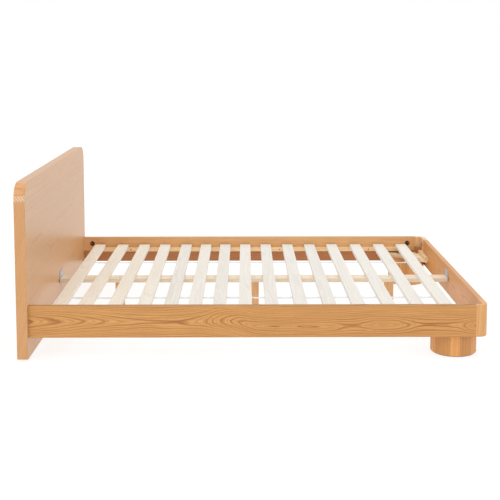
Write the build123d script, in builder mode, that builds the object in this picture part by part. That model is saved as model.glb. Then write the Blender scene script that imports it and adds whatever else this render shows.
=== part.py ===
from build123d import *
import math
import os

# Wooden bed frame for a 1530 x 2030 mm mattress. Millimetres, +Z up.
# X runs from the headboard (-X) to the foot (+X), Y across the bed, and Z = 0 is the floor.
# "right" is the -Y side and "left" is the +Y side, as seen by someone lying in the bed.

# ---- driving dimensions ----
inner_length = 2050.0
rail_spread = 1630.0
rail_thick = 25.0
rail_top = 250.0
rail_bottom = 103.0
rail_arris = 2.0
board_arris = 1.0

head_thick = 50.0
head_width = 1664.0
head_height = 806.0
head_corner = 80.0
head_arris = 3.0
glide_height = 8.0
glide_radius = 12.0

corner_radius = 42.0
corner_side_leg = 57.0
corner_foot_leg = 116.0

leg_radius = 105.0
leg_top = 136.0
leg_gap = 1.0
pad_height = 3.0
gusset_leg = 216.0
gusset_tail = 203.0
gusset_thick = 21.0
cleat_length = 216.0
cleat_wide = 22.0
block_wide = 36.0
block_deep = 45.0
block_top = 190.0

support_height = 190.0
ledger_wide = 30.0
ledger_tall = 22.0
ledger_start = 62.0
ledger_end = 1945.0
ledger_screw_first = 108.0
ledger_screw_pitch = 180.0
ledger_screw_count = 11

beam_wide = 85.0
beam_thick = 20.0
bracket_wide = 62.0
bracket_steel = 3.0
bracket_top = 226.0
bracket_shelf = 40.0
bracket_drop = 2.0
post_wide = 45.0
post_bottom = 12.0
post_places = (314.5, 1027.5, 1740.5)

slat_wide = 62.0
slat_thick = 18.0
slat_length = 1560.0
# Slat centres from the headboard's inner face, at the right end and at the left end.
slat_right = (105, 223, 364, 504, 628, 740, 855, 977, 1101, 1238, 1374, 1509, 1650, 1784, 1916)
slat_left = (101, 241, 372, 496, 625, 744, 860, 980, 1104, 1235, 1368, 1503, 1646, 1787, 1925)

tape_wide = 28.0
tape_thick = 1.2
tape_end = 12.0
tape_sag = 2.0
tape_places = {"right": -435.0, "left": 355.0}
staple_wide = 10.0
staple_wire = 1.0
staple_leg = 7.0

pocket_radius = 15.0
pocket_depth = 20.0
pocket_height = 211.0
pocket_to_joint = 50.0
rod_radius = 4.0
rod_reach = 30.0
rod_tail = 3.0
rod_hole = 4.5
insert_radius = 6.0
insert_length = 28.0
moon_flat = 8.0
moon_height = 12.0
nut_across = 13.0
nut_thick = 6.5
dowel_radius = 4.0
dowel_half = 24.0
dowel_heights = (120.0, 150.0)

screw_shank = 2.0
screw_head = 4.0
screw_cone = 3.0
screw_point = 5.0
screw_play = 0.1

# ---- values that follow ----
head_inner = -(inner_length + rail_thick + head_thick) / 2 + head_thick
foot_inner = head_inner + inner_length
foot_outer = foot_inner + rail_thick
side_outer = rail_spread / 2
side_inner = side_outer - rail_thick
side_middle = side_outer - rail_thick / 2
foot_middle = foot_outer - rail_thick / 2
side_end = foot_outer - corner_side_leg
foot_end = side_outer - corner_foot_leg
gusset_top = leg_top + gusset_thick
pocket_foot_y = foot_end + pocket_to_joint
post_x = [head_inner + place for place in post_places]
sides = {"right": -1, "left": 1}
hole_play = 0.05

os.makedirs("parts", exist_ok=True)


# ---- shared shapes, each used inside an open sub-part ----
def finish(piece, name):
    piece.part.label = name
    export_step(piece.part, f"parts/{name}.step")


def turn(origin, along, outline, mode=Mode.ADD):
    """Revolves an outline of (radius, distance) points about the line from origin along a direction."""
    axis_dir = Vector(*along)
    radial = Vector(0, 0, 1) if abs(axis_dir.Z) < 0.5 else Vector(1, 0, 0)
    with BuildSketch(Plane(origin=origin, x_dir=radial, z_dir=radial.cross(axis_dir))) as profile:
        with BuildLine():
            Polyline(*outline, close=True)
        make_face()
    revolve(profile.sketch, axis=Axis(origin, along), mode=mode)


def rod_outline(radius, start, end):
    return [(0, start), (radius, start), (radius, end), (0, end)]


def screw_outline(length, play=0.0):
    """Countersunk screw driven along +distance, with its flat head at distance 0."""
    return [
        (0, 0),
        (screw_head + play, 0),
        (screw_shank + play, screw_cone),
        (screw_shank + play, length - screw_point),
        (0, length + play),
    ]


def block(x_range, y_range, z_range, mode=Mode.ADD):
    """A board with its faces square to the axes, drawn in plan and extruded up."""
    width = x_range[1] - x_range[0]
    depth = y_range[1] - y_range[0]
    centre = ((x_range[0] + x_range[1]) / 2, (y_range[0] + y_range[1]) / 2, z_range[0])
    with BuildSketch(Plane(origin=centre)) as plan:
        Rectangle(width, depth)
    extrude(plan.sketch, amount=z_range[1] - z_range[0], mode=mode)


# ---- where the joints and fasteners stand ----
# A rail joint is (point on the joint face, direction from pocket to joint, pocket's inward direction).
def rail_joints():
    joints = []
    for side in sides.values():
        inward = (0, -side, 0)
        joints.append(((head_inner, side * side_middle), (-1, 0, 0), inward))
        joints.append(((side_end, side * side_middle), (1, 0, 0), inward))
        joints.append(((foot_middle, side * foot_end), (0, -side, 0), (-1, 0, 0)))
    return joints


def pocket_centre(joint):
    """Pocket centre on the rod's line."""
    (x, y), along, _ = joint
    return (x - along[0] * pocket_to_joint, y - along[1] * pocket_to_joint, pocket_height)


def drill_dowels(joint):
    (x, y), along, _ = joint
    for height in dowel_heights:
        reach = dowel_half + 0.5
        turn((x, y, height), along, rod_outline(dowel_radius + hole_play, -reach, reach), Mode.SUBTRACT)


def drill_rod_side(joint):
    """Access pocket, rod clearance hole and dowel holes in the piece that holds the nut."""
    _, along, inward = joint
    centre = pocket_centre(joint)
    half = rail_thick / 2
    turn(centre, inward, rod_outline(pocket_radius, half - pocket_depth, half), Mode.SUBTRACT)
    turn(centre, along, rod_outline(rod_hole, 0, pocket_to_joint), Mode.SUBTRACT)
    drill_dowels(joint)


def drill_insert_side(joint):
    """Insert hole, with room for the rod's tip, and dowel holes in the piece that is pulled up."""
    (x, y), along, _ = joint
    depth = rod_reach + 2
    turn((x, y, pocket_height), along, rod_outline(insert_radius + hole_play, 0, depth), Mode.SUBTRACT)
    drill_dowels(joint)


def ledger_screw_heads(side):
    """Head points on the ledger's front face."""
    first = head_inner + ledger_screw_first
    y = side * (side_inner - ledger_wide)
    z = support_height - ledger_tall / 2
    return [(first + n * ledger_screw_pitch, y, z) for n in range(ledger_screw_count)]


def gusset_spot(side, from_foot, from_side, height):
    """A point given by its distances from the foot rail's and side rail's inner faces."""
    return (foot_inner - from_foot, side * (side_inner - from_side), height)


def leg_screw_heads(side):
    return [gusset_spot(side, *spot, gusset_top) for spot in ((106, 66), (66, 106), (90, 90))]


def cleat_screw_heads(side):
    height = gusset_top + gusset_thick / 2
    return [gusset_spot(side, cleat_wide, from_side, height) for from_side in (75, 205)]


def gusset_screw_heads(side):
    return [gusset_spot(side, cleat_wide / 2, from_side, leg_top) for from_side in (95, 190)]


ledger_screw_length = 43.0
cleat_screw_length = 34.0
leg_screw_length = 60.0
gusset_screw_length = 32.0
bracket_screw_length = 32.0
post_screw_length = 80.0
rail_joint_list = rail_joints()


def joints_of(name):
    """The joints whose nut side and insert side lie in the named board."""
    head_right, side_right, foot_right, head_left, side_left, foot_left = rail_joint_list
    nut_side = {
        "side_rail_right": [head_right, side_right],
        "side_rail_left": [head_left, side_left],
        "foot_corner_right": [foot_right],
        "foot_corner_left": [foot_left],
    }
    insert_side = {
        "headboard_panel": [head_right, head_left],
        "foot_corner_right": [side_right],
        "foot_corner_left": [side_left],
        "foot_rail": [foot_right, foot_left],
    }
    return nut_side.get(name, []), insert_side.get(name, [])


def drill_joints(name):
    nut_side, insert_side = joints_of(name)
    for joint in nut_side:
        drill_rod_side(joint)
    for joint in insert_side:
        drill_insert_side(joint)


# ---- headboard ----
glide_places = [(head_inner - head_thick / 2, y, 0) for y in (-785, -265, 265, 785)]
glide_pin = [(0, 0), (glide_radius - 1, 0), (glide_radius, 1), (glide_radius, glide_height)]
glide_pin += [(1.5, glide_height), (1.5, 25), (0, 25)]
bracket_screw_spots = [(y, bracket_top - 12) for y in (-19, 19)]

with BuildPart() as headboard_panel:
    with BuildSketch(Plane.YZ.offset(head_inner - head_thick)):
        with BuildLine():
            half_width = head_width / 2
            FilletPolyline(
                (-half_width, glide_height),
                (-half_width, head_height),
                (half_width, head_height),
                (half_width, glide_height),
                radius=head_corner,
            )
            Line((half_width, glide_height), (-half_width, glide_height))
        make_face()
    extrude(amount=head_thick)
    upper = headboard_panel.faces().filter_by(Axis.X).edges().filter_by_position(
        Axis.Z, head_height / 2 - 1, head_height
    )
    fillet(upper, radius=head_arris)
    drill_joints("headboard_panel")
    for place in glide_places:
        turn(place, (0, 0, 1), rod_outline(1.5 + hole_play, glide_height, 26), Mode.SUBTRACT)
    for y, z in bracket_screw_spots:
        shank = rod_outline(screw_shank + screw_play, 0, bracket_screw_length)
        turn((head_inner, y, z), (-1, 0, 0), shank, Mode.SUBTRACT)
finish(headboard_panel, "headboard_panel")

with BuildPart() as headboard_glides:
    for place in glide_places:
        turn(place, (0, 0, 1), glide_pin)
finish(headboard_glides, "headboard_glides")


# ---- rails and rounded foot corners ----
def make_side_rail(name, side):
    inner, outer = side * side_inner, side * side_outer
    with BuildPart() as side_rail:
        block((head_inner, side_end), sorted((inner, outer)), (rail_bottom, rail_top))
        fillet(side_rail.edges().filter_by(Axis.X), radius=rail_arris)
        drill_joints(name)
        for x, _, z in ledger_screw_heads(side):
            shank = rod_outline(screw_shank + screw_play, 0, ledger_screw_length - ledger_wide + 1)
            turn((x, inner, z), (0, side, 0), shank, Mode.SUBTRACT)
    finish(side_rail, name)


def make_foot_corner(name, side):
    with BuildPart() as foot_corner:
        with BuildSketch(Plane.XY.offset(rail_bottom)):
            with BuildLine():
                arc_x = foot_outer - corner_radius
                arc_y = side_outer - corner_radius
                Line((side_end, side * side_outer), (arc_x, side * side_outer))
                RadiusArc((arc_x, side * side_outer), (foot_outer, side * arc_y), side * corner_radius)
                Polyline(
                    (foot_outer, side * arc_y),
                    (foot_outer, side * foot_end),
                    (foot_inner, side * foot_end),
                    (foot_inner, side * side_inner),
                    (side_end, side * side_inner),
                    (side_end, side * side_outer),
                )
            make_face()
        extrude(amount=rail_top - rail_bottom)
        side_seam = foot_corner.faces().filter_by(Axis.X).sort_by(Axis.X)[0]
        foot_seam = foot_corner.faces().filter_by(Axis.Y).sort_by(Axis.Y)[-1 if side < 0 else 0]
        seam_edges = side_seam.edges() + foot_seam.edges()
        rim = foot_corner.faces().filter_by(Axis.Z).edges()
        fillet([edge for edge in rim if edge not in seam_edges], radius=rail_arris)
        drill_joints(name)
        for x, y, z in cleat_screw_heads(side)[:1]:
            shank = rod_outline(screw_shank + screw_play, 0, cleat_screw_length - cleat_wide + 1)
            turn((foot_inner, y, z), (1, 0, 0), shank, Mode.SUBTRACT)
    finish(foot_corner, name)


for word, sign in sides.items():
    make_side_rail(f"side_rail_{word}", sign)
    make_foot_corner(f"foot_corner_{word}", sign)

with BuildPart() as foot_rail:
    block((foot_inner, foot_outer), (-foot_end, foot_end), (rail_bottom, rail_top))
    fillet(foot_rail.edges().filter_by(Axis.Y), radius=rail_arris)
    drill_joints("foot_rail")
    for sign in sides.values():
        for x, y, z in cleat_screw_heads(sign)[1:]:
            foot_shank = rod_outline(screw_shank + screw_play, 0, cleat_screw_length - cleat_wide + 1)
            turn((foot_inner, y, z), (1, 0, 0), foot_shank, Mode.SUBTRACT)
    for y, z in bracket_screw_spots:
        short_shank = rod_outline(screw_shank + screw_play, 0, rail_thick - 5)
        turn((foot_inner, y, z), (1, 0, 0), short_shank, Mode.SUBTRACT)
finish(foot_rail, "foot_rail")


# ---- rail connectors: rod, half-moon washer, nut, threaded insert, dowels ----
with BuildPart() as joint_rods:
    for joint in rail_joint_list:
        turn(pocket_centre(joint), joint[1], rod_outline(rod_radius, -rod_tail, pocket_to_joint + rod_reach))
finish(joint_rods, "joint_rods")

with BuildPart() as half_moon_washers:
    for joint in rail_joint_list:
        centre, along, inward = pocket_centre(joint), Vector(*joint[1]), Vector(*joint[2])
        moon_radius = pocket_radius - 0.15
        moon_side = math.sqrt(moon_radius**2 - moon_flat**2)
        base = Vector(*centre) - inward * (moon_height / 2)
        with BuildSketch(Plane(origin=base, x_dir=along, z_dir=inward)):
            with BuildLine():
                ThreePointArc((moon_flat, -moon_side), (moon_radius, 0), (moon_flat, moon_side))
                Line((moon_flat, moon_side), (moon_flat, -moon_side))
            make_face()
        extrude(amount=moon_height)
        turn(centre, joint[1], rod_outline(rod_radius + hole_play, 0, pocket_radius), Mode.SUBTRACT)
finish(half_moon_washers, "half_moon_washers")

with BuildPart() as joint_nuts:
    for joint in rail_joint_list:
        centre, along, inward = Vector(*pocket_centre(joint)), Vector(*joint[1]), Vector(*joint[2])
        nut_base = centre + along * (moon_flat - nut_thick)
        with BuildSketch(Plane(origin=nut_base, x_dir=Vector(0, 0, 1), z_dir=along)):
            RegularPolygon(radius=nut_across / 2, side_count=6, major_radius=False, rotation=30)
            Circle(rod_radius + hole_play, mode=Mode.SUBTRACT)
        extrude(amount=nut_thick)
finish(joint_nuts, "joint_nuts")

with BuildPart() as threaded_inserts:
    for joint in rail_joint_list:
        (x, y), along, _ = joint
        wall = [(rod_radius + hole_play, 0), (insert_radius, 0)]
        wall += [(insert_radius, insert_length), (rod_radius + hole_play, insert_length)]
        turn((x, y, pocket_height), along, wall)
finish(threaded_inserts, "threaded_inserts")

with BuildPart() as joint_dowels:
    for joint in rail_joint_list:
        (x, y), along, _ = joint
        for height in dowel_heights:
            turn((x, y, height), along, rod_outline(dowel_radius, -dowel_half, dowel_half))
finish(joint_dowels, "joint_dowels")


# ---- ledgers along the side rails ----
def make_ledger(name, side):
    reach = (head_inner + ledger_start, head_inner + ledger_end)
    across = sorted((side * (side_inner - ledger_wide), side * side_inner))
    with BuildPart() as ledger:
        block(reach, across, (support_height - ledger_tall, support_height))
        fillet(ledger.edges().filter_by(Axis.X), radius=board_arris)
        for head in ledger_screw_heads(side):
            outline = screw_outline(ledger_screw_length + screw_point, screw_play)
            turn(head, (0, side, 0), outline, Mode.SUBTRACT)
    finish(ledger, name)


def make_ledger_screws(name, side):
    with BuildPart() as ledger_screws:
        for head in ledger_screw_heads(side):
            turn(head, (0, side, 0), screw_outline(ledger_screw_length))
    finish(ledger_screws, name)


for word, sign in sides.items():
    make_ledger(f"side_ledger_{word}", sign)
    make_ledger_screws(f"ledger_screws_{word}", sign)


# ---- foot-end legs: round leg, pad, three-cornered gusset, cleat and corner block ----
def make_leg(name, side):
    centre_x = foot_inner - leg_gap - leg_radius
    centre_y = side * (side_inner - leg_gap - leg_radius)
    with BuildPart() as round_leg:
        with BuildSketch(Plane.XY.offset(pad_height)):
            with Locations((centre_x, centre_y)):
                Circle(leg_radius)
        extrude(amount=leg_top - pad_height)
        chamfer(round_leg.faces().sort_by(Axis.Z)[0].edges(), length=3)
        for x, y, z in leg_screw_heads(side):
            shank = rod_outline(screw_shank + screw_play, gusset_thick, leg_screw_length + 1)
            turn((x, y, z), (0, 0, -1), shank, Mode.SUBTRACT)
    finish(round_leg, name)


def make_leg_pad(name, side):
    centre_x = foot_inner - leg_gap - leg_radius
    centre_y = side * (side_inner - leg_gap - leg_radius)
    with BuildPart() as leg_pad:
        with BuildSketch():
            with Locations((centre_x, centre_y)):
                Circle(leg_radius - 6)
        extrude(amount=pad_height)
    finish(leg_pad, name)


def make_gusset(name, side):
    with BuildPart() as gusset:
        with BuildSketch(Plane.XY.offset(leg_top)):
            with BuildLine():
                Polyline(
                    (foot_inner, side * side_inner),
                    (foot_inner, side * (side_inner - gusset_leg)),
                    (foot_inner - gusset_leg + block_deep, side * (side_inner - block_deep)),
                    (foot_inner - gusset_tail, side * (side_inner - block_deep)),
                    (foot_inner - gusset_tail, side * side_inner),
                    close=True,
                )
            make_face()
        extrude(amount=gusset_thick)
        for head in leg_screw_heads(side):
            outline = screw_outline(leg_screw_length + screw_point, screw_play)
            turn(head, (0, 0, -1), outline, Mode.SUBTRACT)
        for head in gusset_screw_heads(side):
            outline = screw_outline(gusset_screw_length + screw_point, screw_play)
            turn(head, (0, 0, 1), outline, Mode.SUBTRACT)
    finish(gusset, name)


def make_cleat(name, side):
    near_end = side * (side_inner - block_deep)
    far_end = side * (side_inner - block_deep - cleat_length)
    with BuildPart() as cleat:
        across = sorted((near_end, far_end))
        block((foot_inner - cleat_wide, foot_inner), across, (gusset_top, gusset_top + gusset_thick))
        fillet(cleat.edges().filter_by(Axis.Y), radius=board_arris)
        for head in cleat_screw_heads(side):
            outline = screw_outline(cleat_screw_length + screw_point, screw_play)
            turn(head, (1, 0, 0), outline, Mode.SUBTRACT)
        for x, y, z in gusset_screw_heads(side):
            hole = rod_outline(screw_shank + screw_play, gusset_thick, gusset_screw_length + 1)
            turn((x, y, z), (0, 0, 1), hole, Mode.SUBTRACT)
    finish(cleat, name)


def make_corner_block(name, side):
    across = sorted((side * side_inner, side * (side_inner - block_deep)))
    with BuildPart() as corner_block:
        block((foot_inner - block_wide, foot_inner), across, (gusset_top, block_top))
    finish(corner_block, name)


for word, sign in sides.items():
    make_leg(f"round_leg_{word}", sign)
    make_leg_pad(f"leg_pad_{word}", sign)
    make_gusset(f"leg_gusset_{word}", sign)
    make_cleat(f"foot_cleat_{word}", sign)
    make_corner_block(f"corner_block_{word}", sign)

with BuildPart() as leg_screws:
    for sign in sides.values():
        for head in leg_screw_heads(sign):
            turn(head, (0, 0, -1), screw_outline(leg_screw_length))
finish(leg_screws, "leg_screws")

with BuildPart() as cleat_screws:
    for sign in sides.values():
        for head in cleat_screw_heads(sign):
            turn(head, (1, 0, 0), screw_outline(cleat_screw_length))
        for head in gusset_screw_heads(sign):
            turn(head, (0, 0, 1), screw_outline(gusset_screw_length))
finish(cleat_screws, "cleat_screws")


# ---- centre beam, its steel brackets and its posts ----
beam_under = support_height - beam_thick
beam_gap = 1.0


def make_bracket(name, wall, toward):
    """L-shaped drop-in bracket: a back plate on the wall at x = wall and a shelf under the beam."""
    with BuildPart() as bracket:
        with BuildSketch(Plane.XZ.offset(-bracket_wide / 2)):
            with BuildLine():
                plate = wall + toward * bracket_steel
                tip = wall + toward * bracket_shelf
                low = beam_under - bracket_steel - bracket_drop
                Polyline(
                    (wall, low),
                    (wall, bracket_top),
                    (plate, bracket_top),
                    (plate, beam_under),
                    (tip, beam_under),
                    (tip, beam_under - bracket_steel),
                    (plate, beam_under - bracket_steel),
                    (plate, low),
                    close=True,
                )
            make_face()
        extrude(amount=bracket_wide)
        for y, z in bracket_screw_spots:
            hole = screw_outline(bracket_screw_length, screw_play)
            turn((plate, y, z), (-toward, 0, 0), hole, Mode.SUBTRACT)
    finish(bracket, name)


make_bracket("beam_bracket_head", head_inner, 1)
make_bracket("beam_bracket_foot", foot_inner, -1)

with BuildPart() as bracket_screws:
    for y, z in bracket_screw_spots:
        head_plate = head_inner + bracket_steel
        foot_plate = foot_inner - bracket_steel
        turn((head_plate, y, z), (-1, 0, 0), screw_outline(bracket_screw_length))
        turn((foot_plate, y, z), (1, 0, 0), screw_outline(rail_thick - 4))
finish(bracket_screws, "bracket_screws")

with BuildPart() as centre_beam:
    ends = bracket_steel + beam_gap
    half_beam = beam_wide / 2
    block((head_inner + ends, foot_inner - ends), (-half_beam, half_beam), (beam_under, support_height))
    fillet(centre_beam.edges().filter_by(Axis.X), radius=board_arris)
    for x in post_x:
        beam_hole = screw_outline(post_screw_length, screw_play)
        turn((x, 0, support_height), (0, 0, -1), beam_hole, Mode.SUBTRACT)
finish(centre_beam, "centre_beam")

foot_plate_radius = 16.0
foot_plate_height = 8.0
flange_radius = 10.0
stem_top = 48.0
barrel_top = 37.0
stem_play = 0.06


def make_post(name, x):
    with BuildPart() as post:
        half = post_wide / 2
        block((x - half, x + half), (-half, half), (post_bottom, beam_under))
        chamfer(post.edges().filter_by(Axis.Z), length=1.5)
        barrel = rod_outline(insert_radius + hole_play, post_bottom, barrel_top)
        turn((x, 0, 0), (0, 0, 1), barrel, Mode.SUBTRACT)
        turn((x, 0, 0), (0, 0, 1), rod_outline(rod_hole, barrel_top, stem_top + 6), Mode.SUBTRACT)
        pilot = rod_outline(screw_shank + screw_play, beam_thick, post_screw_length + 1)
        turn((x, 0, support_height), (0, 0, -1), pilot, Mode.SUBTRACT)
    finish(post, name)


def make_levelling_foot(name, x):
    outline = [
        (0, 0),
        (foot_plate_radius - 2, 0),
        (foot_plate_radius, 2),
        (foot_plate_radius, foot_plate_height - 2),
        (rod_radius + 4, foot_plate_height),
        (rod_radius + 4, foot_plate_height + 2),
        (rod_radius, foot_plate_height + 2),
        (rod_radius, stem_top),
        (0, stem_top),
    ]
    with BuildPart() as levelling_foot:
        turn((x, 0, 0), (0, 0, 1), outline)
    finish(levelling_foot, name)


for number, x in enumerate(post_x, start=1):
    make_post(f"centre_post_{number}", x)
    make_levelling_foot(f"levelling_foot_{number}", x)

with BuildPart() as post_inserts:
    for x in post_x:
        bore = rod_radius + stem_play
        flange_low = foot_plate_height + 2
        sleeve = [(bore, flange_low), (flange_radius, flange_low), (flange_radius, post_bottom)]
        sleeve += [(insert_radius, post_bottom), (insert_radius, barrel_top), (bore, barrel_top)]
        turn((x, 0, 0), (0, 0, 1), sleeve)
finish(post_inserts, "post_inserts")

with BuildPart() as post_screws:
    for x in post_x:
        turn((x, 0, support_height), (0, 0, -1), screw_outline(post_screw_length))
finish(post_screws, "post_screws")


# ---- slat roll: loose slats joined by two stapled webbing tapes ----
slat_top = support_height + slat_thick


def slat_centre(index, y):
    """X of a slat's centre line at a given Y, since each slat lies slightly askew."""
    share = (y + slat_length / 2) / slat_length
    place = slat_right[index] + (slat_left[index] - slat_right[index]) * share
    return head_inner + place


def staple_legs(index):
    """The four staple legs of one slat, two on each tape."""
    legs = []
    for y in tape_places.values():
        x = slat_centre(index, y)
        legs += [(x + dx, y) for dx in (-staple_wide / 2, staple_wide / 2)]
    return legs


def make_slat(name, index):
    middle_x = slat_centre(index, 0)
    skew = math.degrees(math.atan2(slat_left[index] - slat_right[index], slat_length))
    with BuildPart() as slat:
        across = Vector(1, 0, 0).rotate(Axis.Z, -skew)
        with BuildSketch(Plane(origin=(middle_x, 0, support_height), x_dir=across)):
            Rectangle(slat_wide, slat_length)
        extrude(amount=slat_thick)
        fillet(slat.faces().sort_by(Axis.Z)[-1].edges(), radius=board_arris)
        with BuildSketch(Plane.XY.offset(support_height)):
            with Locations(*staple_legs(index)):
                Rectangle(staple_wire + hole_play, staple_wire + hole_play)
        extrude(amount=staple_leg, mode=Mode.SUBTRACT)
    finish(slat, name)


for index in range(len(slat_right)):
    make_slat(f"slat_{index + 1:02d}", index)


def make_tape(name, y):
    """Webbing under the slats: flat against each slat, with a little sag in each gap."""
    centres = [slat_centre(index, y) for index in range(len(slat_right))]
    half = slat_wide / 2
    flats = [(centre - half + 1, centre + half - 1) for centre in centres]
    flats[0] = (centres[0] - tape_end, flats[0][1])
    flats[-1] = (flats[-1][0], centres[-1] + tape_end)
    with BuildPart() as tape:
        with BuildSketch(Plane.XZ.offset(-y - tape_wide / 2)):
            with BuildLine():
                for level in (support_height, support_height - tape_thick):
                    for start, end in flats:
                        Line((start, level), (end, level))
                    for (_, start), (end, _) in zip(flats, flats[1:]):
                        middle = ((start + end) / 2, level - tape_sag)
                        ThreePointArc((start, level), middle, (end, level))
                for x in (flats[0][0], flats[-1][1]):
                    Line((x, support_height), (x, support_height - tape_thick))
            make_face()
        extrude(amount=tape_wide)
        legs = [leg for index in range(len(slat_right)) for leg in staple_legs(index) if leg[1] * y > 0]
        with BuildSketch(Plane.XY.offset(support_height - tape_thick)):
            with Locations(*legs):
                Rectangle(staple_wire + hole_play, staple_wire + hole_play)
        extrude(amount=tape_thick, mode=Mode.SUBTRACT)
    finish(tape, name)


for word, place in tape_places.items():
    make_tape(f"webbing_tape_{word}", place)

with BuildPart() as tape_staples:
    crown_top = support_height - tape_thick
    for index in range(len(slat_right)):
        for y in tape_places.values():
            x = slat_centre(index, y)
            with BuildSketch(Plane.XZ.offset(-y - staple_wire / 2)):
                with BuildLine():
                    half = (staple_wide + staple_wire) / 2
                    inside = half - staple_wire
                    leg_top_z = support_height + staple_leg
                    Polyline(
                        (x - half, crown_top - staple_wire),
                        (x + half, crown_top - staple_wire),
                        (x + half, leg_top_z),
                        (x + inside, leg_top_z),
                        (x + inside, crown_top),
                        (x - inside, crown_top),
                        (x - inside, leg_top_z),
                        (x - half, leg_top_z),
                        close=True,
                    )
                make_face()
            extrude(amount=staple_wire)
finish(tape_staples, "tape_staples")
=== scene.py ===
"""Wooden bed frame with a lift-out slat roll: materials, webbing, light and camera around the CAD frame."""

import math
import random

import bmesh
import bpy
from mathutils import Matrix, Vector


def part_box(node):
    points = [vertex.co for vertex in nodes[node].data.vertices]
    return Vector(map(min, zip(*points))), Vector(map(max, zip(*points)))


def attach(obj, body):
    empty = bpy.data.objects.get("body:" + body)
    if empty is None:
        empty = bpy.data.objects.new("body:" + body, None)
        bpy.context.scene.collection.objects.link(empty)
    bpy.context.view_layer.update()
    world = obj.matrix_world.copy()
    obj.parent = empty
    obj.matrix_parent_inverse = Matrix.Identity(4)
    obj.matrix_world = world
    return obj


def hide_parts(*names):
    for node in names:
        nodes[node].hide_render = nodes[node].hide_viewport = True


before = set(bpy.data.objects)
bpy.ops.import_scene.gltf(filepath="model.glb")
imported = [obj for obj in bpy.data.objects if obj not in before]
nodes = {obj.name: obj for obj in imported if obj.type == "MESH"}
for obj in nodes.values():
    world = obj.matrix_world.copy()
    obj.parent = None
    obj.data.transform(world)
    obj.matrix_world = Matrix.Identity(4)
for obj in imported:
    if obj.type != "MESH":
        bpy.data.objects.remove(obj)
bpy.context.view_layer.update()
SIDES = ("right", "left")
SLAT_COUNT = 15
POST_COUNT = 3

# ---------------------------------------------------------------- shader helpers


def linear(red, green, blue):
    """Linear colour with alpha from 0-255 display values."""
    def channel(value):
        value /= 255
        return value / 12.92 if value <= 0.04045 else ((value + 0.055) / 1.055) ** 2.4

    return (channel(red), channel(green), channel(blue), 1.0)


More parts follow.
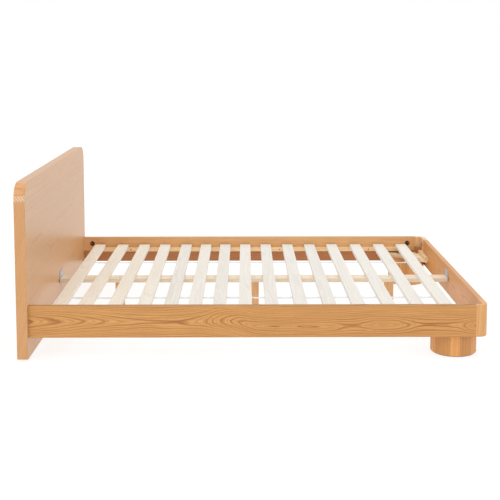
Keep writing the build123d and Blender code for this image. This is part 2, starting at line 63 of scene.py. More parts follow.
class Graph:
    """One material's node tree. Each method adds a node and gives back its output socket."""

    def __init__(self, name):
        self.material = bpy.data.materials.new(name)
        self.material.use_nodes = True
        self.tree = self.material.node_tree
        self.shader = self.tree.nodes["Principled BSDF"]
        self.place = self.tree.nodes.new("ShaderNodeTexCoord").outputs["Object"]

    def add(self, kind, **settings):
        node = self.tree.nodes.new("ShaderNode" + kind)
        for key, value in settings.items():
            setattr(node, key, value)
        return node

    def feed(self, socket, value):
        if isinstance(value, bpy.types.NodeSocket):
            self.tree.links.new(value, socket)
        elif socket.type == "VECTOR":
            socket.default_value = value[:3]
        else:
            socket.default_value = value

    def math(self, operation, *values):
        node = self.add("Math", operation=operation)
        for socket, value in zip(node.inputs, values):
            self.feed(socket, value)
        return node.outputs[0]

    def total(self, *values):
        result = values[0]
        for value in values[1:]:
            result = self.math("ADD", result, value)
        return result

    def product(self, *values):
        result = values[0]
        for value in values[1:]:
            result = self.math("MULTIPLY", result, value)
        return result

    def length(self, first, second):
        return self.math("SQRT", self.total(self.product(first, first), self.product(second, second)))

    def scaled(self, value, factor, offset=0.0):
        return self.math("MULTIPLY_ADD", value, factor, offset)

    def split(self, vector):
        node = self.add("SeparateXYZ")
        self.feed(node.inputs[0], vector)
        return dict(zip("XYZ", node.outputs))

    def vector(self, x, y, z):
        node = self.add("CombineXYZ")
        for socket, value in zip(node.inputs, (x, y, z)):
            self.feed(socket, value)
        return node.outputs[0]

    def noise(self, vector, scale=1.0, detail=2.0):
        node = self.add("TexNoise")
        self.feed(node.inputs["Vector"], vector)
        node.inputs["Scale"].default_value = scale
        node.inputs["Detail"].default_value = detail
        return node.outputs[0]

    def streaks(self, u, v, w, pace, seed, detail):
        """Noise drawn out along u. pace is how many times it changes in a metre, along and across."""
        along, across = pace
        place = self.vector(self.scaled(u, along, seed), self.scaled(v, across), self.scaled(w, across))
        return self.noise(place, detail=detail)

    def random(self, value):
        node = self.add("TexWhiteNoise", noise_dimensions="1D")
        self.feed(node.inputs["W"], value)
        return node.outputs["Value"]

    def smooth(self, value, low, high, to_low=0.0, to_high=1.0):
        node = self.add("MapRange", interpolation_type="SMOOTHSTEP")
        for socket, part in zip(node.inputs, (value, low, high, to_low, to_high)):
            self.feed(socket, part)
        return node.outputs[0]

    def curve(self, value, points, low, high):
        """A smooth curve through (value, result) points, for values from low to high."""
        node = self.add("FloatCurve")
        results = [result for _, result in points]
        bottom, span = min(results), max(results) - min(results)
        line = node.mapping.curves[0]
        ready = [((x - low) / (high - low), (y - bottom) / span) for x, y in points]
        line.points[0].location, line.points[1].location = ready[0], ready[-1]
        for spot in ready[1:-1]:
            line.points.new(*spot)
        node.mapping.update()
        self.feed(node.inputs["Value"], self.share(value, low, high))
        return self.scaled(node.outputs[0], span, bottom)

    def share(self, value, low, high):
        """How far a value is on its way from low to high, from 0 to 1."""
        node = self.add("MapRange")
        for socket, part in zip(node.inputs, (value, low, high, 0.0, 1.0)):
            self.feed(socket, part)
        return node.outputs[0]

    def mix(self, factor, first, second):
        node = self.add("Mix", data_type="RGBA")
        self.feed(node.inputs["Factor"], factor)
        self.feed(node.inputs[6], first)
        self.feed(node.inputs[7], second)
        return node.outputs[2]

    def brightness(self, colour, factor):
        node = self.add("VectorMath", operation="SCALE")
        self.feed(node.inputs[0], colour)
        self.feed(node.inputs["Scale"], factor)
        return node.outputs[0]

    def bump(self, height, strength, distance):
        node = self.add("Bump")
        node.inputs["Strength"].default_value = strength
        node.inputs["Distance"].default_value = distance
        self.feed(node.inputs["Height"], height)
        self.feed(self.shader.inputs["Normal"], node.outputs[0])

    def surface(self, colour, roughness, metallic=0.0, specular=0.5, sheen=0.0):
        self.feed(self.shader.inputs["Base Color"], colour)
        self.feed(self.shader.inputs["Roughness"], roughness)
        self.shader.inputs["Metallic"].default_value = metallic
        self.shader.inputs["Specular IOR Level"].default_value = specular
        self.shader.inputs["Sheen Weight"].default_value = sheen
        return self.material


# How many times each pattern of a wood changes in a metre, along and across the fibres.
BEND_PACE = (1.6, 9)
SIDE_BEND_PACE = (2.3, 14)
LINE_PACE = (9, 55)
FIBRE_PACE = (5, 240)
PORE_PACE = (45, 800)
CLOUD_PACE = (2.2, 26, 11)

LINE_START, LINE_PEAK = 0.56, 0.92
THIN_LINES = 3.0
UNEVEN_PACE, UNEVEN_RINGS = 60, 1.6
TIP_ROUND = 0.0015
PITH_SWAY = 0.08
WOOD_BUMP, WOOD_RELIEF = 0.25, 0.0004
# Grain colours of painted shade, for wood that lies in shade.
PAINTED_SHADE_LIGHT = linear(182, 118, 68)
PAINTED_SHADE_DARK = linear(144, 84, 42)


def grain(graph, u, v, w, pith, ring, seed, warp=0.006, wobble=0.3, pointed=0.0):
    """Growth rings of a sawn board. u runs along the fibres, and the trunk's centre lies pith below w = 0.

    warp bends the rings, wobble roughens their lines, and pointed sharpens the tips of the arches.
    Returns the late-wood line, the fibre streaks and the pores, each from 0 to 1.
    """
    low_warp = graph.streaks(u, v, w, BEND_PACE, seed, detail=3)
    along, across = SIDE_BEND_PACE
    side_place = graph.vector(graph.scaled(u, along, seed + 31), graph.scaled(v, across), 0.3)
    side_warp = graph.noise(side_place, detail=2)
    v_bent = graph.total(v, graph.scaled(low_warp, 2 * warp, -warp))
    w_bent = graph.total(w, pith, graph.scaled(side_warp, 2 * warp, -warp))
    radius = graph.length(v_bent, w_bent)
    if pointed:
        peak = graph.math("SQRT", graph.total(graph.product(v_bent, v_bent), TIP_ROUND ** 2))
        radius = graph.math("MULTIPLY_ADD", peak, pointed, radius)
    rough = graph.scaled(graph.streaks(u, v, w, LINE_PACE, seed, detail=3), wobble, seed)
    uneven = graph.noise(graph.vector(graph.scaled(radius, UNEVEN_PACE), seed, 0.5), detail=2)
    phase = graph.total(graph.scaled(radius, 1 / ring), rough, graph.scaled(uneven, UNEVEN_RINGS))
    part = graph.math("FRACT", phase)
    strength = graph.random(graph.math("FLOOR", phase))
    rise = graph.smooth(part, LINE_START, LINE_PEAK)
    fall = graph.smooth(part, LINE_PEAK, 1.0, 1.0, 0.0)
    broad = graph.product(rise, fall, graph.scaled(strength, 0.75, 0.25))
    thin_part = graph.math("FRACT", graph.scaled(phase, THIN_LINES, 0.4))
    thin = graph.smooth(graph.math("ABSOLUTE", graph.total(thin_part, -0.5)), 0.06, 0.30, 0.30, 0.0)
    line = graph.math("MAXIMUM", broad, thin)
    fibre = graph.streaks(u, v, w, FIBRE_PACE, seed, detail=4)
    pores = graph.smooth(graph.streaks(u, v, w, PORE_PACE, seed, detail=1), 0.60, 0.72)
    return line, fibre, pores


def finish_wood(graph, light, dark, line, fibre, pores, tone, contrast, roughness, specular=0.5,
                streak=0.11):
    """Colour, roughness and relief of a wood from its grain. tone is a brightness factor, or a socket."""
    pore_depth = 0.35
    colour = graph.mix(graph.scaled(line, contrast), light, dark)
    fibres = graph.smooth(fibre, 0.28, 0.72, 1 - streak, 1 + streak)
    shade = graph.product(fibres, tone, graph.scaled(pores, -pore_depth * 0.5, 1.0))
    rough = graph.total(graph.scaled(line, 0.08, roughness), graph.scaled(pores, 0.10),
                        graph.scaled(fibre, 0.06))
    relief = graph.total(graph.scaled(fibre, 0.5), graph.scaled(pores, -pore_depth),
                         graph.scaled(line, 0.25))
    graph.bump(relief, WOOD_BUMP, WOOD_RELIEF)
    return graph.surface(graph.brightness(colour, shade), rough, specular=specular)


def board(name, light, dark, axes, middle, pith, ring=0.009, seed=0.0, contrast=0.8, tone=1.0,
          roughness=0.40, warp=0.006, patches=0.05, wobble=0.3, specular=0.5, streak=0.11, painted_shade=None,
          pointed=0.0):
    """A solid board. axes names the fibre, width and thickness directions, and middle is the board's centre.

    pith is its depth, wander and pace, or a function that gives its depth and shift along the board.
    tone is a brightness factor, or a function that gives one over the board from its graph and coordinates.
    The function given for the painted shade gives, in the same way, how far the board takes on its darker
    grain colours.
    """
    graph = Graph(name)
    parts = graph.split(graph.place)
    u = parts[axes[0]]
    v = graph.math("SUBTRACT", parts[axes[1]], middle["XYZ".index(axes[1])])
    w = graph.math("SUBTRACT", parts[axes[2]], middle["XYZ".index(axes[2])])
    if callable(pith):
        pith, shift = pith(graph, u)
        v = graph.math("SUBTRACT", v, shift)
    else:
        depth, wander, pace = pith
        drift = graph.noise(graph.vector(graph.scaled(u, pace, seed * 3), 0.4, 0.7), detail=1)
        pith = graph.scaled(drift, 2 * wander, depth - wander)
        shift = graph.noise(graph.vector(graph.scaled(u, pace * 0.7, seed * 5), 7.4, 0.7), detail=1)
        v = graph.total(v, graph.scaled(shift, PITH_SWAY, -PITH_SWAY / 2))
    line, fibre, pores = grain(graph, u, v, w, pith, ring, seed, warp, wobble, pointed)
    along, across, through = CLOUD_PACE
    cloud_place = graph.vector(graph.scaled(u, along, seed), graph.scaled(v, across),
                               graph.scaled(w, through))
    cloud = graph.noise(cloud_place, detail=3)
    tone = tone(graph, parts) if callable(tone) else tone
    # Painted shade: darker grain colours where the board lies in shade.
    if painted_shade:
        shaded = painted_shade(graph, parts)
        light, dark = graph.mix(shaded, light, PAINTED_SHADE_LIGHT), graph.mix(shaded, dark, PAINTED_SHADE_DARK)
    shade = graph.product(graph.scaled(cloud, 2 * patches, 1 - patches), tone)
    return finish_wood(graph, light, dark, line, fibre, pores, shade, contrast, roughness,
                       specular=specular, streak=streak)


def paint(material, *names):
    for name in names:
        data = nodes[name].data
        for index in range(len(data.materials)):
            data.materials[index] = material


def centre(name):
    low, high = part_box(name)
    return (low + high) / 2


# ---------------------------------------------------------------- oak

OAK_LIGHT = linear(209, 153, 89)
OAK_DARK = linear(148, 86, 38)
FAR_LIGHT = linear(224, 173, 116)
FAR_DARK = linear(184, 122, 70)
FOOT_LIGHT = linear(210, 150, 90)
FOOT_DARK = linear(164, 100, 50)
# Darker oak for the corner blocks: painted shade, as they stand in shade low in the corners.
BLOCK_SHADED_LIGHT = linear(176, 118, 72)
BLOCK_SHADED_DARK = linear(140, 84, 46)
CORNER_COLOURS = {
    "right": (linear(219, 163, 102), linear(188, 129, 72)),
    "left": (linear(232, 192, 148), linear(206, 156, 108)),
}
CORNER_SEED = {"right": 5.0, "left": 8.0}
ARCH_DEPTH = 0.040
ARCH_RING = 0.0085
RING = 0.0062


def near_rail_pith(graph, u):
    """The trunk's centre rises and falls along the board, which draws its arches, ovals and pointed ends."""
    start, end = -1.06, 1.03
    steps = [
        (start, -0.2), (-0.955, 1.0), (-0.852, 2.0), (-0.744, 3.0), (-0.582, 4.0), (-0.40, 4.7),
        (-0.245, 4.0), (-0.175, 2.4), (-0.09, 0.3), (-0.02, -1.2), (0.09, -2.2), (0.155, -1.9),
        (0.25, -2.4), (0.36, -1.6), (0.44, -0.6), (0.50, -1.0), (0.587, -2.2), (0.68, -1.0),
        (0.81, 0.6), (0.93, 0.2), (0.97, -1.2), (end, -3.2),
    ]
    shifts = [
        (start, 0.0), (-0.35, 0.004), (-0.18, 0.008), (0.02, -0.020), (0.25, -0.026), (0.60, -0.016),
        (end, -0.020),
    ]
    depths = [(x, ARCH_DEPTH + ARCH_RING * step) for x, step in steps]
    return graph.curve(u, depths, start, end), graph.curve(u, shifts, start, end)


POCKET_RADIUS = 0.015
POCKET_FROM_JOINT = 0.050
POCKET_HEIGHT = 0.211
POCKET_DEPTH = 0.020
# How far painted shade darkens the pocket walls.
POCKET_PAINTED_SHADE = 0.80
# Painted shade on the side rails' top faces, against the light that falls on them from above.
TOP_FACE_PAINTED_SHADE = 0.76


def pocket_painted_shade(graph, along, up, depth, places):
    """Brightness that falls on the walls of the drilled pockets, which reach POCKET_DEPTH into the wood:
    painted shade in the hollows.
    """
    shade = 1.0
    entered = graph.smooth(depth, 0.0003, 0.0020)
    not_beyond = graph.smooth(depth, POCKET_DEPTH + 0.001, POCKET_DEPTH + 0.002, 1.0, 0.0)
    within = graph.product(entered, not_beyond)
    for place in places:
        distance = graph.length(graph.total(along, -place), graph.total(up, -POCKET_HEIGHT))
        near = graph.smooth(distance, POCKET_RADIUS + 0.0001, POCKET_RADIUS + 0.0008, 1.0, 0.0)
        # Painted shade inside each pocket.
        shade = graph.product(graph.scaled(graph.product(near, within), -POCKET_PAINTED_SHADE, 1.0), shade)
    return shade


def inner_face(side):
    """The Y of a side rail's inner face, and the sign that makes depth grow from there into the rail."""
    low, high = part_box(f"side_rail_{side}")
    return (high.y, -1) if side == "right" else (low.y, 1)


def side_rail_painted_shade(side):
    """Painted shade: dark pockets, and a darker top face where light from above falls on it."""
    low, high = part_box(f"side_rail_{side}")
    places = (low.x + POCKET_FROM_JOINT, high.x - POCKET_FROM_JOINT)
    face, inward = inner_face(side)

    def tone(graph, parts):
        depth = graph.scaled(parts["Y"], inward, -inward * face)
        pockets = pocket_painted_shade(graph, parts["X"], parts["Z"], depth, places)
        # Painted shade: the top face is darkened where light from above falls on it.
        edge = graph.smooth(parts["Z"], high.z - 0.0012, high.z - 0.0004, 1.0, TOP_FACE_PAINTED_SHADE)
        return graph.product(pockets, edge)

    return tone


def shade_below_ledger(side):
    """Painted shade on a side rail's inner face below the ledger, where the ledger shades it: a deeper tone
    there.
    """
    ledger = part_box(f"side_ledger_{side}")[0].z
    face, inward = inner_face(side)

    def painted_shade(graph, parts):
        depth = graph.scaled(parts["Y"], inward, -inward * face)
        under = graph.smooth(parts["Z"], ledger - 0.002, ledger + 0.002, 1.0, 0.0)
        return graph.product(under, graph.smooth(depth, 0.001, 0.004, 1.0, 0.0))

    return painted_shade


def corner_painted_shade(side):
    """Painted shade in the pocket in a foot corner's inner face."""
    low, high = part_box("foot_rail")
    seam = high.y + POCKET_FROM_JOINT
    place = -seam if side == "right" else seam

    def tone(graph, parts):
        return pocket_painted_shade(graph, parts["Y"], parts["Z"], graph.total(parts["X"], -low.x), (place,))

    return tone


def oak_boards():
    near = board("oak_near_rail", OAK_LIGHT, OAK_DARK, "XZY", centre("side_rail_right"), near_rail_pith,
                 specular=0.35, ring=ARCH_RING, seed=2.0, contrast=1.0, warp=0.009, wobble=0.50,
                 pointed=0.12, patches=0.08, tone=side_rail_painted_shade("right"), painted_shade=shade_below_ledger("right"))
    paint(near, "side_rail_right")
    far = board("oak_far_rail", FAR_LIGHT, FAR_DARK, "XZY", centre("side_rail_left"), (0.060, 0.030, 0.9),
                ring=RING, seed=11.0, contrast=0.6, tone=side_rail_painted_shade("left"), painted_shade=shade_below_ledger("left"))
    paint(far, "side_rail_left")
    foot = board("oak_foot_rail", FOOT_LIGHT, FOOT_DARK, "YZX", centre("foot_rail"), (0.055, 0.028, 1.1),
                 ring=RING, seed=23.0, contrast=0.6)
    paint(foot, "foot_rail")
    for side in SIDES:
        seed = CORNER_SEED[side]
        name = f"foot_corner_{side}"
        paint(board(f"oak_corner_{side}", *CORNER_COLOURS[side], "ZXY", centre(name), (0.10, 0.01, 2.0),
                    ring=0.006, seed=seed, contrast=0.55, tone=corner_painted_shade(side)), name)
        # Painted shade: the corner blocks take the darker oak.
        name = f"corner_block_{side}"
        paint(board(f"oak_block_{side}", BLOCK_SHADED_LIGHT, BLOCK_SHADED_DARK, "ZXY", centre(name), (0.08, 0.01, 2.0),
                    ring=0.005, seed=seed + 3), name)


# ---------------------------------------------------------------- headboard

HEAD_PLANK = 0.118
HEAD_COLOURS = linear(199, 154, 110), linear(168, 116, 72)
HEAD_LOW_COLOURS = linear(215, 162, 110), linear(186, 128, 78)
LIP_COLOURS = linear(210, 157, 104), linear(176, 116, 66)
LIP_ARC_COLOURS = linear(222, 166, 112), linear(198, 138, 84)
# Pale strokes: end-grain streaks with a painted highlight where the lipping turns into the arc.
STROKE_HIGHLIGHT_COLOUR = linear(240, 214, 184)
LIP_SLANT = 0.30
STROKE_SLOPE = 0.8
STROKE_PITCH = 0.014
ARC_BELOW_TOP = (0.058, 0.050)
STROKES_START = (0.088, 0.072)
STROKES_END = (0.062, 0.050)


def headboard_face(graph, x, y, z):
    """Boards glued edge to edge, warmer towards the floor. Returns colour, fibre, pores and seams."""
    row = graph.scaled(z, 1 / HEAD_PLANK)
    luck = graph.random(graph.total(graph.math("FLOOR", row), 4.0))
    in_row = graph.math("FRACT", row)
    seam = graph.smooth(graph.math("ABSOLUTE", graph.total(in_row, -0.5)), 0.492, 0.499)
    u = graph.total(y, graph.scaled(luck, 9.0))
    v = graph.total(graph.scaled(in_row, HEAD_PLANK, -HEAD_PLANK / 2), graph.scaled(luck, 0.10, -0.05))
    w = graph.math("SUBTRACT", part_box("headboard_panel")[1].x, x)
    drift = graph.noise(graph.vector(graph.scaled(y, 0.9), graph.scaled(luck, 40), 0.7), detail=1)
    line, fibre, pores = grain(graph, u, v, w, graph.scaled(drift, 0.07, 0.035), 0.008, 3.0, 0.004)
    upper = graph.mix(graph.scaled(line, 0.42), *HEAD_COLOURS)
    lower = graph.mix(graph.scaled(line, 0.40), *HEAD_LOW_COLOURS)
    colour = graph.mix(graph.smooth(z, 0.16, 0.60, 0.50, 0.0), upper, lower)
    return graph.brightness(colour, graph.scaled(luck, 0.10, 0.95)), fibre, pores, seam


def headboard_lipping(graph, x, y, z):
    """Upright lipping, with pale diagonal strokes below a banded corner: end-grain streaks, lightened by a
    painted highlight where the edge turns into the arc. Returns colour, fibre and pores.
    """
    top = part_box("headboard_panel")[1].z
    slanted = graph.total(x, graph.scaled(z, -LIP_SLANT))
    line, fibre, pores = grain(graph, z, slanted, y, 0.12, 0.006, 9.0)
    plain = graph.mix(graph.scaled(line, 0.75), *LIP_COLOURS)
    bands = graph.noise(graph.vector(graph.scaled(x, 12), 0.3, graph.scaled(z, 190)), detail=2)
    curved = graph.mix(graph.smooth(bands, 0.35, 0.65), *LIP_ARC_COLOURS)
    colour = graph.mix(graph.smooth(z, *(top - drop for drop in ARC_BELOW_TOP)), plain, curved)
    slant = graph.scaled(graph.total(x, graph.scaled(z, STROKE_SLOPE)), 2 * math.pi / STROKE_PITCH)
    strokes = graph.smooth(graph.math("SINE", slant), -0.6, 0.6)
    start = graph.smooth(z, *(top - drop for drop in STROKES_START))
    end = graph.smooth(z, *(top - drop for drop in STROKES_END), 1.0, 0.0)
    # Painted highlight on the streaks where the edge turns into the corner's arc.
    pale = graph.product(graph.product(start, end), graph.scaled(strokes, 0.55, 0.12))
    return graph.mix(pale, colour, STROKE_HIGHLIGHT_COLOUR), fibre, pores


def headboard_oak():
    """The headboard's broad faces and its lipped side edges, told apart by the surface's direction."""
    graph = Graph("oak_headboard")
    parts = graph.split(graph.place)
    place = parts["X"], parts["Y"], parts["Z"]
    face, face_fibre, face_pores, seam = headboard_face(graph, *place)
    lip, lip_fibre, lip_pores = headboard_lipping(graph, *place)
    normal = graph.split(graph.add("NewGeometry").outputs["Normal"])
    side = graph.smooth(graph.math("ABSOLUTE", normal["Y"]), 0.14, 0.24)
    flat = graph.scaled(side, -1, 1)
    colour = graph.mix(side, face, lip)
    fibre = graph.total(graph.product(side, lip_fibre), graph.product(flat, face_fibre))
    pores = graph.math("MAXIMUM", graph.product(side, lip_pores), graph.product(flat, face_pores))
    seam = graph.product(seam, flat)
    shade = graph.product(graph.smooth(fibre, 0.25, 0.75, 0.94, 1.05), graph.scaled(seam, -0.12, 1.0),
                          graph.scaled(pores, -0.14, 1.0))
    relief = graph.total(graph.scaled(fibre, 0.5), graph.scaled(pores, -0.3), graph.scaled(seam, -0.6))
    graph.bump(relief, WOOD_BUMP, WOOD_RELIEF)
    rough = graph.total(graph.scaled(fibre, 0.08, 0.31), graph.scaled(pores, 0.1))
    paint(graph.surface(graph.brightness(colour, shade), rough), "headboard_panel")


# ---------------------------------------------------------------- round legs

STAVES_PER_METRE = 38.0
LEG_LIGHT = linear(216, 153, 86)
LEG_DARK = linear(168, 102, 44)
LEG_SEED = {"right": 1.0, "left": 6.0}


def staves(graph, place, **settings):
    """Uneven cells along an arc, one for each stave."""
    node = graph.add("TexVoronoi", voronoi_dimensions="1D", **settings)
    graph.feed(node.inputs["W"], place)
    node.inputs["Scale"].default_value = STAVES_PER_METRE
    return node.outputs


def leg_oak():
    """Round legs glued up from upright staves of uneven width and tone."""
    for side in SIDES:
        name, seed = f"round_leg_{side}", LEG_SEED[side]
        low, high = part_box(name)
        middle = (low + high) / 2
        radius = (high.x - low.x) / 2
        graph = Graph(f"oak_leg_{side}")
        parts = graph.split(graph.place)
        across = graph.math("SUBTRACT", parts["X"], middle.x)
        back = graph.math("SUBTRACT", parts["Y"], middle.y)
        arc = graph.scaled(graph.math("ARCTAN2", across, back), radius)
        place = graph.total(arc, seed)
        luck = graph.random(staves(graph, place)["W"])
        edge = staves(graph, place, feature="DISTANCE_TO_EDGE")["Distance"]
        seam = graph.smooth(edge, 0.0, 0.035, 1.0, 0.0)
        u = graph.total(parts["Z"], graph.scaled(luck, 5.0))
        v = graph.total(arc, graph.scaled(luck, 0.3))
        w = graph.math("SUBTRACT", graph.length(across, back), radius)
        line, fibre, pores = grain(graph, u, v, w, graph.scaled(luck, 0.10, 0.12), 0.007, seed, 0.003)
        tone = graph.product(graph.scaled(luck, 0.32, 0.82), graph.scaled(seam, -0.30, 1.0))
        paint(finish_wood(graph, LEG_LIGHT, LEG_DARK, line, fibre, pores, tone, 0.75, 0.42), name)


# ---------------------------------------------------------------- softwood

PINE = linear(236, 202, 154), linear(208, 158, 102)
# A paler copy of the pine: painted light on the gussets, whose tops catch the light through the slats.
GUSSET_LIT_PINE = linear(246, 230, 202), linear(226, 194, 148)
BEAM_PINE = linear(231, 214, 190), linear(212, 184, 146)
POST_WOOD = linear(228, 178, 122), linear(196, 138, 84)
SLAT_WARM = Vector(linear(252, 244, 228)), Vector(linear(222, 196, 164))
SLAT_PALE = Vector(linear(240, 236, 228)), Vector(linear(212, 202, 186))


def ledgers_and_beam():
    for number, name in enumerate(("side_ledger_right", "side_ledger_left", "centre_beam")):
        beam = name == "centre_beam"
        paint(board("pine_" + name, *(BEAM_PINE if beam else PINE), "XYZ" if beam else "XZY", centre(name),
                    (0.05, 0.02, 1.2), ring=0.005, seed=40.0 + number, contrast=0.6, roughness=0.55), name)


def gussets_and_cleats():
    for number, side in enumerate(SIDES):
        for word, axes, colours in (("leg_gusset", "YXZ", GUSSET_LIT_PINE), ("foot_cleat", "YZX", PINE)):
            name = f"{word}_{side}"
            paint(board("pine_" + name, *colours, axes, centre(name), (0.05, 0.02, 1.5), ring=0.006,
                        seed=50.0 + 3 * number, contrast=0.65, roughness=0.55), name)


def posts():
    for number in range(1, POST_COUNT + 1):
        name = f"centre_post_{number}"
        paint(board(f"post_wood_{number}", *POST_WOOD, "ZXY", centre(name), (0.07, 0.02, 2.0), ring=0.006,
                    seed=60.0 + number, contrast=0.7, roughness=0.45), name)


def slats():
    """The slats near the headboard are warmer, and each differs a little in tone and figure."""
    chance = random.Random(7)
    for number in range(1, SLAT_COUNT + 1):
        name = f"slat_{number:02d}"
        spot = centre(name)
        share = min(1.0, max(0.0, (number - 2.5) / 3)) * 0.85 + chance.uniform(0, 0.15)
        colours = (tuple(warm.lerp(pale, share)) for warm, pale in zip(SLAT_WARM, SLAT_PALE))
        middle = (spot.x + chance.uniform(-0.02, 0.02), spot.y, spot.z)
        pith = (chance.uniform(0.03, 0.09), 0.02, 0.8)
        ring = chance.uniform(0.004, 0.007)
        tone = chance.uniform(0.85, 0.90)
        paint(board("softwood_" + name, *colours, "YXZ", middle, pith, ring=ring, seed=70.0 + number,
                    contrast=0.34, tone=tone, roughness=0.58, specular=0.3, streak=0.035), name)


# ---------------------------------------------------------------- steel, cloth, plastic

def steel(name, tint, roughness, metallic=1.0):
    graph = Graph(name)
    spangle = graph.noise(graph.place, scale=220, detail=3)
    cloud = graph.noise(graph.place, scale=35, detail=2)
    tone = graph.total(graph.scaled(spangle, 0.12, 0.88), graph.scaled(cloud, 0.12))
    graph.bump(spangle, 0.15, 0.0002)
    rough = graph.total(graph.scaled(spangle, 0.16, roughness - 0.08), graph.scaled(cloud, 0.06))
    return graph.surface(graph.brightness(tint, tone), rough, metallic=metallic)


def plastic(name, tint, roughness):
    graph = Graph(name)
    speckle = graph.noise(graph.place, scale=900, detail=2)
    cloud = graph.noise(graph.place, scale=60, detail=2)
    graph.bump(speckle, 0.2, 0.0001)
    rough = graph.total(graph.scaled(speckle, 0.1, roughness), graph.scaled(cloud, 0.06))
    return graph.surface(graph.brightness(tint, graph.scaled(cloud, 0.16, 0.92)), rough)


def woven(name, tint, pitch, roughness=0.8):
    """Plain weave: raised warp and weft ribs along X and Y that pass over and under each other."""
    graph = Graph(name)
    parts = graph.split(graph.place)
    turns = 2 * math.pi / pitch
    warp = graph.math("SINE", graph.scaled(parts["Y"], turns))
    weft = graph.math("SINE", graph.scaled(parts["X"], turns))
    weave = graph.product(warp, weft)
    fuzz = graph.noise(graph.place, scale=1800, detail=2)
    tone = graph.total(graph.scaled(weave, 0.05, 0.93), graph.scaled(fuzz, 0.08))
    graph.bump(graph.total(graph.scaled(weave, 0.5, 0.5), graph.scaled(fuzz, 0.3)), 0.6, 0.0004)
    return graph.surface(graph.brightness(tint, tone), graph.scaled(fuzz, 0.1, roughness), sheen=0.2)


def hardware():
    zinc = steel("zinc_plate", linear(196, 194, 186), 0.34)
    paint(zinc, "threaded_inserts", "post_inserts", "tape_staples")
    dark = steel("dark_screws", linear(120, 104, 84), 0.45)
    paint(dark, "bracket_screws", "leg_screws", "cleat_screws", "ledger_screws_right",
          "ledger_screws_left", "post_screws")
    bronze = steel("bronzed_steel", linear(150, 108, 72), 0.55, metallic=0.7)
    paint(bronze, "joint_rods", "joint_nuts", "half_moon_washers")
    plate = steel("bracket_plate", linear(186, 200, 214), 0.42, metallic=0.6)
    paint(plate, "beam_bracket_head", "beam_bracket_foot")


def small_parts():
    paint(woven("grey_felt", linear(96, 90, 84), 0.0024, 0.95), "leg_pad_right", "leg_pad_left")
    paint(plastic("glide_nylon", linear(92, 84, 76), 0.5), "headboard_glides")
    feet = [f"levelling_foot_{number}" for number in range(1, POST_COUNT + 1)]
    paint(plastic("foot_nylon", linear(40, 40, 40), 0.45), *feet)
    dowels = board("beech_dowels", linear(226, 190, 150), linear(200, 160, 118), "XYZ", (0, 0, 0),
                   (0.05, 0.01, 1.0), ring=0.004)
    paint(dowels, "joint_dowels")


# ---------------------------------------------------------------- webbing

# Lengths in metres and twists in degrees.
TAPE_THICK = 0.0011
TAPE_CLEAR = 0.0001
TAPE_EDGE = 0.85
TAPE_COLUMNS = 8
TAPE_SEED = {"right": 11, "left": 12}
GAP_STEPS = 16
SAG_RANGE = (0.0008, 0.0022)
TWIST_RANGE = (-3, 3)
LOOSE_SAG = 0.0035
LOOSE_TWIST = -7
SLAT_HALF = 0.78
SLAT_END = 0.75


def slat_crossing(number, y):
    """Where a slat's two lower edges cross a line at the given Y: each slat lies a little askew."""
    ends = {1: [], -1: []}
    for vertex in nodes[f"slat_{number:02d}"].data.vertices:
        if abs(vertex.co.y) > SLAT_END:
            ends[1 if vertex.co.y > 0 else -1].append(vertex.co.x)
    share = (y + SLAT_HALF) / (2 * SLAT_HALF)
    low = min(ends[-1]) + (min(ends[1]) - min(ends[-1])) * share
    high = max(ends[-1]) + (max(ends[1]) - max(ends[-1])) * share
    return low, high


def tape_path(side):
    """A tape's Y and its points (x, drop, twist): flat under each slat, sagging and turning between them."""
    low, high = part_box(f"webbing_tape_{side}")
    y = (low.y + high.y) / 2
    flats = [slat_crossing(number, y) for number in range(1, SLAT_COUNT + 1)]
    flats[0] = (low.x, flats[0][1])
    flats[-1] = (flats[-1][0], high.x)
    chance = random.Random(TAPE_SEED[side])
    path = []
    for index, (start, end) in enumerate(flats):
        path += [(start, 0.0, 0.0), (end, 0.0, 0.0)]
        if index + 1 == SLAT_COUNT:
            break
        gap = flats[index + 1][0] - end
        loose = side == "left" and index + 2 == SLAT_COUNT
        sag = LOOSE_SAG if loose else chance.uniform(*SAG_RANGE)
        twist = math.radians(LOOSE_TWIST if loose else chance.uniform(*TWIST_RANGE))
        for step in range(1, GAP_STEPS):
            share = step / GAP_STEPS
            path.append((end + gap * share, sag * 4 * share * (1 - share), twist * math.sin(math.pi * share)))
    return y, path


def tape_section(mesh, x, y, top, wide, drop, twist):
    """One closed cross-section of a tape: its top, then its underside, and thinner at the two edges."""
    ring = []
    for under in (0, 1):
        for step in range(TAPE_COLUMNS + 1):
            across = (step / TAPE_COLUMNS - 0.5) * wide * (1 if under else -1)
            edge = TAPE_EDGE if step in (0, TAPE_COLUMNS) else 1.0
            height = top - drop - (TAPE_THICK * edge if under else 0) + across * math.sin(twist)
            ring.append(mesh.verts.new((x, y + across * math.cos(twist), height)))
    return ring


def tape_mesh(name, y, top, wide, path):
    mesh = bmesh.new()
    rows = [tape_section(mesh, x, y, top, wide, drop, twist) for x, drop, twist in path]
    for first, second in zip(rows, rows[1:]):
        for index in range(len(first)):
            after = (index + 1) % len(first)
            mesh.faces.new((first[index], first[after], second[after], second[index]))
    mesh.faces.new(rows[0][::-1])
    mesh.faces.new(rows[-1])
    bmesh.ops.recalc_face_normals(mesh, faces=mesh.faces)
    data = bpy.data.meshes.new(name)
    mesh.to_mesh(data)
    mesh.free()
    for face in data.polygons:
        face.use_smooth = True
    return data


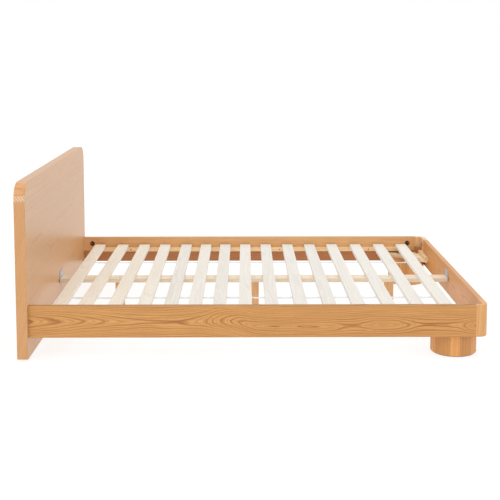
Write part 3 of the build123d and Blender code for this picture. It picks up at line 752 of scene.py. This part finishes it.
def straps():
    webbing = woven("white_webbing", linear(230, 233, 238), 0.0016)
    for side in SIDES:
        node = f"webbing_tape_{side}"
        low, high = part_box(node)
        wide = high.y - low.y
        y, path = tape_path(side)
        data = tape_mesh(f"strap_{side}", y, high.z - TAPE_CLEAR, wide, path)
        strap = bpy.data.objects.new(f"strap_{side}", data)
        bpy.context.scene.collection.objects.link(strap)
        data.materials.append(webbing)
        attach(strap, "slat_roll")
        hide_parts(node)


# ---------------------------------------------------------------- stage

FLOOR_REACH = 30.0
FLOOR_GLOW = 0.76
SCENE_MIDDLE = Vector((0, 0, 0.2))


def softbox(name, place, size, power):
    light = bpy.data.lights.new(name, "AREA")
    light.shape = "RECTANGLE"
    light.size, light.size_y = size
    light.energy = power
    lamp = bpy.data.objects.new(name, light)
    lamp.location = place
    lamp.rotation_euler = (SCENE_MIDDLE - Vector(place)).to_track_quat("-Z", "Y").to_euler()
    bpy.context.scene.collection.objects.link(lamp)


def stage():
    """A pale floor that glows a little, so that it stays white in the bed's shade, and soft studio light."""
    reach = FLOOR_REACH
    corners = [(-reach, -reach, 0), (reach, -reach, 0), (reach, reach, 0), (-reach, reach, 0)]
    mesh = bpy.data.meshes.new("floor")
    mesh.from_pydata(corners, [], [(0, 1, 2, 3)])
    floor = bpy.data.objects.new("floor", mesh)
    bpy.context.scene.collection.objects.link(floor)
    graph = Graph("floor_paint")
    cloud = graph.noise(graph.place, scale=0.8, detail=2)
    colour = graph.brightness(linear(150, 150, 150), graph.scaled(cloud, 0.02, 0.98))
    mesh.materials.append(graph.surface(colour, 0.9, specular=0.1))
    graph.shader.inputs["Emission Color"].default_value = (1, 1, 1, 1)
    graph.shader.inputs["Emission Strength"].default_value = FLOOR_GLOW

    world = bpy.data.worlds.new("studio")
    bpy.context.scene.world = world
    world.use_nodes = True
    background = world.node_tree.nodes["Background"]
    background.inputs["Color"].default_value = (1, 1, 1, 1)
    background.inputs["Strength"].default_value = 1.0
    softbox("key", (-3.2, -4.6, 3.8), (2.4, 1.8), 36)
    softbox("overhead", (0.6, 0.9, 4.2), (3.0, 2.4), 30)
    view = bpy.context.scene.view_settings
    view.view_transform = "Standard"
    view.look = "None"


# The camera, with its angles in degrees.
LENS = 72.18
SHIFT = -0.2
EYE = (-0.0479, -5.2222, 1.4213)
LOOKS_DOWN = 6.061
TURN = -0.427


def camera():
    """A long lens at standing height, nearly square to the bed's side."""
    data = bpy.data.cameras.new("camera")
    data.sensor_width = 36
    data.lens = LENS
    data.shift_y = SHIFT
    data.clip_end = 100
    eye = bpy.data.objects.new("camera", data)
    eye.location = EYE
    eye.rotation_euler = (math.radians(90 - LOOKS_DOWN), 0, math.radians(TURN))
    bpy.context.scene.collection.objects.link(eye)
    bpy.context.scene.camera = eye


oak_boards()
headboard_oak()
leg_oak()
ledgers_and_beam()
gussets_and_cleats()
posts()
slats()
hardware()
small_parts()
straps()
stage()
camera()
